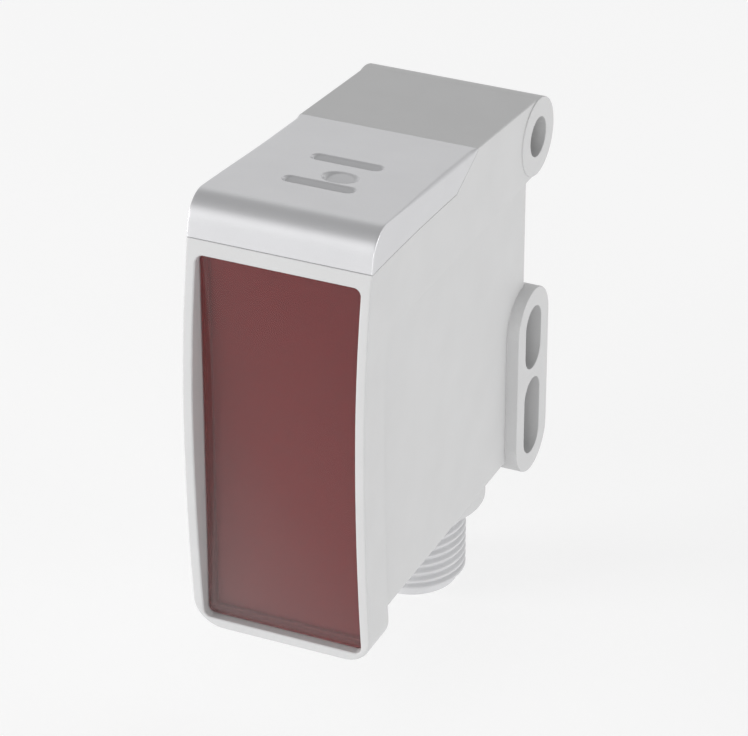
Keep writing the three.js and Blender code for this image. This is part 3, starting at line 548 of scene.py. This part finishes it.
def arc(u, v, radius, start, end, steps):
    """Points of an arc about (u, v), with its angles in degrees."""
    turn = radians(start), radians(end)
    return sampled(lambda a: (u + radius * cos(a), v + radius * sin(a)), *turn, steps)


def circle(u, v, radius, steps):
    return arc(u, v, radius, 0, 360, steps)[:-1]


def upright_slot(low, high, radius, steps=32):
    """Round-ended outline in the plane of the mounts, between two centres above each other."""
    return arc(MOUNT_Y, low, radius, 180, 360, steps) + arc(MOUNT_Y, high, radius, 0, 180, steps)


def rounded_rectangle(u0, v0, u1, v1, radius):
    steps = 8
    return (
        arc(u1 - radius, v0 + radius, radius, -90, 0, steps)
        + arc(u1 - radius, v1 - radius, radius, 0, 90, steps)
        + arc(u0 + radius, v1 - radius, radius, 90, 180, steps)
        + arc(u0 + radius, v0 + radius, radius, 180, 270, steps)
    )


def window_outline(inset):
    """The window's opening in (X, Z), or one further inside it."""
    radius = max(WINDOW_CORNER - inset, WINDOW_CORNER_LEAST)
    low, high = WINDOW_BOTTOM + inset, WINDOW_TOP - inset
    return rounded_rectangle(-WINDOW_HALF + inset, low, WINDOW_HALF - inset, high, radius)


def seam_line(y):
    """The seam under the cap, with its rise to the cap's rear edge."""
    if y <= CAP_FLAT:
        return seam_z(y)
    share = (y - CAP_FLAT) / (CAP_LENGTH - CAP_FLAT)
    return seam_z(CAP_FLAT) * (1 - share) + (roof_z(CAP_LENGTH) - CAP_REAR_EDGE) * share


def frame_outline():
    """Side outline of the bezel's strip and the upper band, in (Y, Z)."""
    seam = sampled(lambda y: (y, seam_z(y) - SEAM_GAP), 0, CAP_FLAT, 10)
    rise = [(CAP_LENGTH, seam_line(CAP_LENGTH) - SEAM_GAP), (CAP_LENGTH, roof_z(CAP_LENGTH))]
    rear = [(MOUNT_Y, roof_z(MOUNT_Y)), (MOUNT_Y, PANEL_TOP)]
    corner_z = PANEL_TOP - PANEL_CORNER
    corner_y = face_y(corner_z) + BEZEL_DEPTH + PANEL_CORNER
    corner = arc(corner_y, corner_z, PANEL_CORNER, 90, 180, 16)
    back = sampled(lambda z: (face_y(z) + BEZEL_DEPTH, z), corner_z - 1, FACE_BOTTOM, 22)
    front = sampled(lambda z: (face_y(z), z), FACE_BOTTOM, -1, 30)
    return seam + rise + rear + corner + back + front


def bezel_outline():
    """Front outline of the bezel in (X, Z), open-ended far above the seam."""
    radius, low, high = BEZEL_CORNER, FACE_BOTTOM, ROOF_HEIGHT + CLEAR_ABOVE
    right = arc(HALF - radius, low + radius, radius, -90, 0, 16)
    left = arc(radius - HALF, low + radius, radius, 180, 270, 16)
    return right + [(HALF, high), (-HALF, high)] + left


# ---------------------------------------------------------------- mesh helpers


def closed(bm):
    """The mesh of a closed surface, merged where its points meet and with its faces pointing out."""
    bmesh.ops.remove_doubles(bm, verts=bm.verts, dist=1e-5)
    bmesh.ops.recalc_face_normals(bm, faces=bm.faces)
    mesh = bpy.data.meshes.new("solid")
    bm.to_mesh(mesh)
    bm.free()
    return mesh


def prism(outline, axis, low, high):
    """Closed prism along an axis. Its outline is in (Y, Z) for x, (X, Z) for y and (X, Y) for z."""
    place = {
        "x": lambda u, v, w: (w, u, v),
        "y": lambda u, v, w: (u, w, v),
        "z": lambda u, v, w: (u, v, w),
    }[axis]
    bm = bmesh.new()
    ends = [[bm.verts.new(place(u, v, w)) for u, v in outline] for w in (low, high)]
    for end in ends:
        bm.faces.new(end)
    for i in range(len(outline)):
        j = (i + 1) % len(outline)
        bm.faces.new((ends[0][i], ends[0][j], ends[1][j], ends[1][i]))
    return closed(bm)


def box(x0, x1, y0, y1, z0, z1):
    return prism([(x0, y0), (x1, y0), (x1, y1), (x0, y1)], "z", z0, z1)


def skinned(rings, ends=False):
    """Closed surface through rings of points: its ends filled, or its last ring joined to its first."""
    bm = bmesh.new()
    loops = [[bm.verts.new(point) for point in ring] for ring in rings]
    count = len(loops[0])
    pairs = zip(loops, loops[1:]) if ends else zip(loops, loops[1:] + loops[:1])
    for first, second in pairs:
        for i in range(count):
            j = (i + 1) % count
            bm.faces.new((first[i], first[j], second[j], second[i]))
    if ends:
        bm.faces.new(loops[0])
        bm.faces.new(loops[-1])
    return closed(bm)


SPOKES = [2 * pi * i / CONNECTOR_STEPS for i in range(CONNECTOR_STEPS)]


def ring(radius, z):
    """Points round the connector's axis."""
    return [(radius * cos(a), CONNECTOR_Y + radius * sin(a), z) for a in SPOKES]


def boolean(base, tool, operation):
    holder = bpy.data.objects.new("holder", base)
    cutter = bpy.data.objects.new("cutter", tool)
    for item in (holder, cutter):
        scene.collection.objects.link(item)
    modifier = holder.modifiers.new("boolean", "BOOLEAN")
    modifier.operation, modifier.solver, modifier.object = operation, "EXACT", cutter
    seen = bpy.context.evaluated_depsgraph_get()
    result = bpy.data.meshes.new_from_object(holder.evaluated_get(seen))
    for item in (holder, cutter):
        bpy.data.objects.remove(item)
    return result


def joined(base, *tools):
    for tool in tools:
        base = boolean(base, tool, "UNION")
    return base


def cut(base, *tools):
    for tool in tools:
        base = boolean(base, tool, "DIFFERENCE")
    return base


def softened(mesh, radius, segments=3, choose=lambda edge: True):
    """Rounds a mesh's sharp outer edges, or those of them that are chosen."""
    bm = bmesh.new()
    bm.from_mesh(mesh)
    bmesh.ops.remove_doubles(bm, verts=bm.verts, dist=1e-4)
    bmesh.ops.dissolve_limit(bm, angle_limit=radians(0.05), verts=bm.verts, edges=bm.edges)
    sharp = [
        edge
        for edge in bm.edges
        if edge.is_manifold and edge.is_convex and edge.calc_face_angle() > radians(25) and choose(edge)
    ]
    bmesh.ops.bevel(
        bm,
        geom=sharp,
        offset=radius,
        offset_type="OFFSET",
        segments=segments,
        profile=0.5,
        affect="EDGES",
        clamp_overlap=False,
    )
    return closed(bm)


def add_piece(name, mesh, slot, replaces=(), crease=30, material=None):
    """A finished piece on the sensor's body: smooth apart from its creases, in its slot's material or in one
    of its own."""
    mesh.name = name
    mesh.transform(TO_FRAME)
    mesh.shade_smooth()
    mesh.set_sharp_from_angle(angle=radians(crease))
    mesh.materials.clear()
    mesh.materials.append(material or MATERIALS[slot])
    piece = bpy.data.objects.new(name, mesh)
    scene.collection.objects.link(piece)
    weighted = piece.modifiers.new("normals", "WEIGHTED_NORMAL")
    weighted.keep_sharp = True
    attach(piece, "sensor")
    if replaces:
        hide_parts(*replaces)


# ---------------------------------------------------------------- housing


def on_seam(edge):
    """True for an edge that lies in the seam under the cap."""
    tolerance_y, tolerance_z = 0.1, 0.03
    return all(
        v.co.y < CAP_LENGTH + tolerance_y and v.co.z > seam_line(v.co.y) - SEAM_GAP - tolerance_z
        for v in edge.verts
    )


def mount_fillet(centre_z, radius, side):
    """Web that rounds the corner between rear wall and a mount's round end, above (1) or below (-1) it."""
    root_share, inset = 0.6, 0.2
    reach = radius + MOUNT_FILLET
    offset = BODY_DEPTH + MOUNT_FILLET - MOUNT_Y
    rise = sqrt(reach**2 - offset**2)
    middle = (BODY_DEPTH + MOUNT_FILLET, centre_z + side * rise)
    meeting = (MOUNT_Y + offset * radius / reach, centre_z + side * rise * radius / reach)
    last = atan2(meeting[1] - middle[1], meeting[0] - middle[0])
    first = pi if side < 0 else -pi
    web = sampled(
        lambda a: (middle[0] + MOUNT_FILLET * cos(a), middle[1] + MOUNT_FILLET * sin(a)), first, last, 10
    )
    inside = [(MOUNT_Y, centre_z + side * radius * root_share), (BODY_DEPTH - 1, middle[1])]
    return prism(web + inside, "x", -PANEL + inset, PANEL - inset)


def through(outlines):
    """Tools that cut right through the sensor from side to side."""
    return [prism(outline, "x", -PAD - PAST, PAD + PAST) for outline in outlines]


def mount(outline, holes):
    """Mounting boss right across the sensor, with its holes."""
    return softened(cut(prism(outline, "x", -PAD, PAD), *through(holes)), MOUNT_EDGE, 2)


def slots(radius):
    upper = upright_slot(LUG_HIGH - UPPER_SLOT_TRAVEL, LUG_HIGH, radius)
    lower = upright_slot(LUG_LOW, LUG_LOW + LOWER_SLOT_TRAVEL, radius)
    return [upper, lower]


def housing_shell():
    bezel = prism(frame_outline(), "x", -HALF, HALF)
    bezel = boolean(bezel, prism(bezel_outline(), "y", CLEAR_FRONT, CLEAR_REAR), "INTERSECT")
    bezel = cut(bezel, prism(window_outline(0), "y", CLEAR_FRONT, SEAT_Y))
    bezel = softened(bezel, FRAME_EDGE, 3, lambda edge: not on_seam(edge))
    bezel = softened(bezel, SEAM_EDGE, 1, on_seam)

    edge = PANEL_EDGE
    low, high = -BODY_HEIGHT, PANEL_TOP + WALL
    outline = (
        arc(PANEL - edge, low + edge, edge, -90, 0, 6)
        + [(PANEL, high), (-PANEL, high)]
        + arc(edge - PANEL, low + edge, edge, 180, 270, 6)
    )
    core = prism(outline, "y", SEAT_Y + OVERLAP, BODY_DEPTH)
    core = softened(core, REAR_EDGE, 4, lambda e: all(v.co.y > BODY_DEPTH - 0.01 for v in e.verts))

    inner = SPIGOT_RADIUS - SPIGOT_EDGE
    corner = arc(inner, SPIGOT_BOTTOM + SPIGOT_EDGE, SPIGOT_EDGE, -90, 0, 5)
    profile = [(inner, SPIGOT_BOTTOM)] + corner[1:] + [(SPIGOT_RADIUS, -BODY_HEIGHT + PAST)]
    spigot = skinned([ring(*point) for point in profile], ends=True)
    return joined(bezel, core, spigot)


def cavity():
    """Room for the optics, the boards, the cap's skirt and the connector."""
    floor_z, front_y = -BODY_HEIGHT + FLOOR, SEAT_Y - OVERLAP
    rear_y, ramp_y = MOUNT_Y - EYE_RADIUS + WALL, CAP_LENGTH + WALL
    main = [
        (front_y, floor_z),
        (rear_y, floor_z),
        (rear_y, roof_z(rear_y) - FLOOR),
        (ramp_y, roof_z(ramp_y) - FLOOR),
        (ramp_y, LEDGE_Z),
        (front_y, LEDGE_Z),
    ]
    play = SKIRT_PLAY
    half, front, rear = SKIRT + play, SKIRT_FRONT - play, SKIRT_REAR + play
    skirt = box(-half, half, front, rear, LEDGE_Z - OVERLAP, PAST)
    ends = (SPIGOT_BOTTOM - PAST, floor_z + PAST)
    port = skinned([ring(THREAD_RADIUS + PORT_PLAY, z) for z in ends], ends=True)
    return [prism(main, "x", WALL - PANEL, PANEL - WALL), skirt, port]


def add_housing():
    relief = [circle(MOUNT_Y, EYE_Z, EYE_BORE + MOUNT_RELIEF, 48), *slots(SLOT_RADIUS + MOUNT_RELIEF)]
    shell = cut(housing_shell(), *cavity(), *through(relief))
    eye = mount(circle(MOUNT_Y, EYE_Z, EYE_RADIUS, 96), [circle(MOUNT_Y, EYE_Z, EYE_BORE, 64)])
    lug = mount(upright_slot(LUG_LOW, LUG_HIGH, LUG_RADIUS, 48), slots(SLOT_RADIUS))
    webs = [mount_fillet(EYE_Z, EYE_RADIUS, -1), mount_fillet(LUG_HIGH, LUG_RADIUS, 1)]
    add_piece("housing_shell", joined(shell, eye, lug, *webs), "housing_plastic", ["housing"])


# ---------------------------------------------------------------- operating cap


def smooth_step(low, high, value):
    share = min(1.0, max(0.0, (value - low) / (high - low)))
    return share * share * (3 - 2 * share)


def hollow(inside, share, depth, wall):
    """Depth of a hollow with a steep front wall and a floor that rises to the rear. inside is the distance
    within its outline, and share goes from -1 at its front to 1 at its rear."""
    return depth * smooth_step(0, wall, inside) * min(1, max(0, 0.5 - 0.5 * share))


def cap_relief(x, y):
    """How far the cap's top lies under its plain surface: two grooves and the teach key's dimple."""
    reach = hypot((x - KEY_X) / KEY_REACH_X, (y - KEY_Y) / KEY_REACH_Y)
    depth = hollow((1 - reach) * KEY_REACH_Y, (y - KEY_Y) / KEY_REACH_Y, KEY_DEPTH, KEY_WALL)
    for groove_y in GROOVE_YS:
        inside = GROOVE_RADIUS - hypot(max(0, abs(x) - GROOVE_HALF), y - groove_y)
        depth += hollow(inside, (y - groove_y) / GROOVE_RADIUS, GROOVE_DEPTH, GROOVE_WALL)
    return depth


def graded(low, high, fine_low, fine_high):
    """Places from low to high, closer together between fine_low and fine_high."""
    places = [low]
    for start, end, gap in (
        (low, fine_low, CAP_ROW),
        (fine_low, fine_high, CAP_FINE_ROW),
        (fine_high, high, CAP_ROW),
    ):
        places += spaced(start, end, max(1, round((end - start) / gap)))[1:]
    return places


def cap_stations():
    """Points of the cap's middle section from the front seam over the rounded edge to its rear edge, each as
    (y, z, inward y, inward z, radius of the side edge there)."""
    corner_z = ROOF_HEIGHT / (1 + tan(CAP_FRONT_LEAN) * tan(ROOF_ANGLE))
    turn = pi / 2 - CAP_FRONT_LEAN + ROOF_ANGLE
    top_y = corner_z * tan(CAP_FRONT_LEAN) + CAP_FRONT_RADIUS * tan(turn / 2) * cos(ROOF_ANGLE)
    centre_y = top_y - CAP_FRONT_RADIUS * sin(ROOF_ANGLE)
    centre_z = roof_z(top_y) - CAP_FRONT_RADIUS * cos(ROOF_ANGLE)
    first, last = pi - CAP_FRONT_LEAN, pi / 2 - ROOF_ANGLE
    start_y, start_z = centre_y + CAP_FRONT_RADIUS * cos(first), centre_z + CAP_FRONT_RADIUS * sin(first)

    stations = []
    for share in CAP_FRONT_SHARES:
        in_y, in_z = cos(CAP_FRONT_LEAN), -sin(CAP_FRONT_LEAN)
        stations.append((start_y * share, start_z * share, in_y, in_z, CAP_SIDE_EDGE))
    for angle in spaced(first, last, 24):
        y, z = centre_y + CAP_FRONT_RADIUS * cos(angle), centre_z + CAP_FRONT_RADIUS * sin(angle)
        stations.append((y, z, -cos(angle), -sin(angle), CAP_SIDE_EDGE))
    for y in graded(top_y, CAP_LENGTH, *CAP_FINE_Y)[1:]:
        most = CAP_SIDE_SHARE * (roof_z(y) - seam_line(y))
        growth = smooth_step(top_y - 1, CAP_SIDE_FULL, y)
        grown = CAP_SIDE_EDGE + (CAP_SIDE_GROWN - CAP_SIDE_EDGE) * growth
        stations.append((y, roof_z(y), -sin(ROOF_ANGLE), -cos(ROOF_ANGLE), min(grown, most)))
    return stations


def cap_row(station, columns):
    """One row of the cap's surface, across it from its left side edge to its right one."""
    y, z, in_y, in_z, radius = station
    edges = []
    for side in (-1, 1):
        edge = []
        for angle in spaced(0, pi / 2, 8):
            inset = radius * (1 - cos(angle))
            x = side * (HALF - radius + radius * sin(angle))
            edge.append((x, y + in_y * inset, z + in_z * inset))
        edges.append(edge)
    middle = [x * (HALF - radius) / HALF for x in columns]
    row = [(x, y, z - (cap_relief(x, y) if z > 1 else 0)) for x in middle]
    return edges[0][::-1] + row + edges[1]


def cap_mesh():
    bm = bmesh.new()
    columns = graded(-HALF, HALF, *CAP_FINE_X)[1:-1]
    rows = [[bm.verts.new(point) for point in cap_row(station, columns)] for station in cap_stations()]
    for first, second in zip(rows, rows[1:]):
        for i in range(len(first) - 1):
            bm.faces.new((first[i], first[i + 1], second[i + 1], second[i]))
    ys = spaced(CAP_SEAM_START, CAP_FLAT, 8) + [CAP_LENGTH]
    left, right = [[bm.verts.new((side * HALF, y, seam_line(y))) for y in ys] for side in (-1, 1)]
    bm.faces.new(rows[0] + [right[0], left[0]])
    for i in range(len(ys) - 1):
        bm.faces.new((left[i], left[i + 1], right[i + 1], right[i]))
    bm.faces.new(rows[-1] + [right[-1], left[-1]])
    bm.faces.new([row[0] for row in rows] + left[::-1])
    bm.faces.new([row[-1] for row in rows] + right[::-1])
    return closed(bm)


def add_cap():
    skirt = box(-SKIRT, SKIRT, SKIRT_FRONT, SKIRT_REAR, LEDGE_Z + SKIRT_LIFT, SKIRT_TOP)
    front, rear, half = SKIRT_FRONT + SKIRT_WALL, SKIRT_REAR - SKIRT_WALL, SKIRT - SKIRT_WALL
    room = [
        (front, LEDGE_Z),
        (rear, LEDGE_Z),
        (rear, roof_z(rear) - CAP_WALL),
        (front, roof_z(front) - CAP_WALL),
    ]
    cap = cut(joined(cap_mesh(), skirt), prism(room, "x", -half, half))
    add_piece("cap_moulding", cap, "cap_plastic", ["operating_cap"], crease=40)


# ---------------------------------------------------------------- window


def add_window():
    rear = SEAT_Y - LAYER_GAP
    glass = prism(window_outline(WINDOW_PLAY), "y", GLASS_FRONT, GLASS_REAR)
    add_piece("window_glass", softened(glass, GLASS_EDGE, 2), "window_plastic", ["front_window"])
    gasket = prism(window_outline(WINDOW_PLAY), "y", GLASS_REAR + LAYER_GAP, rear)
    gasket = cut(gasket, prism(window_outline(GASKET_BORDER), "y", 0, SEAT_Y + PAST))
    add_piece("gasket_ring", gasket, "seal_rubber", ["window_gasket"])
    sheet = prism(window_outline(GASKET_BORDER + LAYER_GAP), "y", rear - SHEET_THICKNESS, rear)
    add_piece("filter_sheet", sheet, "window_plastic", material=filter_material())


# ---------------------------------------------------------------- connector


def thread_radius(z, angle):
    """Radius of the connector's thread: a helix with rounded roots that fades out at both ends."""
    turn = ((z - THREAD_START) / THREAD_PITCH - angle / (2 * pi)) % 1
    valley = smooth_step(*THREAD_VALLEY, 1 - abs(2 * turn - 1))
    fade_in = smooth_step(THREAD_START, THREAD_START + THREAD_FADE_IN, z)
    fade_out = smooth_step(THREAD_END - THREAD_FADE_OUT, THREAD_END, z)
    return THREAD_RADIUS - THREAD_DEPTH * valley * fade_in * (1 - fade_out)


def thread_row(z):
    radii = [thread_radius(z, a) for a in SPOKES]
    return [(r * cos(a), CONNECTOR_Y + r * sin(a), z) for r, a in zip(radii, SPOKES)]


def shell_key():
    """The rib in the connector's mouth that turns a plug the right way round."""
    wall = CONNECTOR_Y - SHELL_BORE
    half = SHELL_KEY_WIDTH / 2
    low = MOUTH_Z + SHELL_KEY_INSET
    return box(-half, half, wall - half, wall + SHELL_KEY_REACH, low, low + SHELL_KEY_LENGTH)


def add_connector():
    top = -BODY_HEIGHT + FLOOR + SHELL_HEAD
    rings = [
        ring(SHELL_BORE + MOUTH_EDGE, MOUTH_Z),
        ring(NOSE_RADIUS - NOSE_EDGE, MOUTH_Z),
        ring(NOSE_RADIUS - NOSE_EDGE_MIDDLE, MOUTH_Z + NOSE_EDGE_MIDDLE),
        ring(NOSE_RADIUS, MOUTH_Z + NOSE_EDGE),
        ring(NOSE_RADIUS, THREAD_START - NOSE_STEP),
        *(thread_row(z) for z in spaced(THREAD_START, THREAD_END, THREAD_TURNS * THREAD_ROWS)),
        ring(THREAD_RADIUS, top),
        ring(SHELL_BORE, top),
        ring(SHELL_BORE, MOUTH_Z + MOUTH_EDGE),
    ]
    shell = joined(skinned(rings), shell_key())
    add_piece("threaded_shell", shell, "connector_plastic", ["connector_shell"], crease=60)


add_housing()
add_cap()
add_window()
add_connector()

add_camera()
add_sky()
for softbox in SOFTBOXES:
    add_softbox(*softbox)
add_floor()
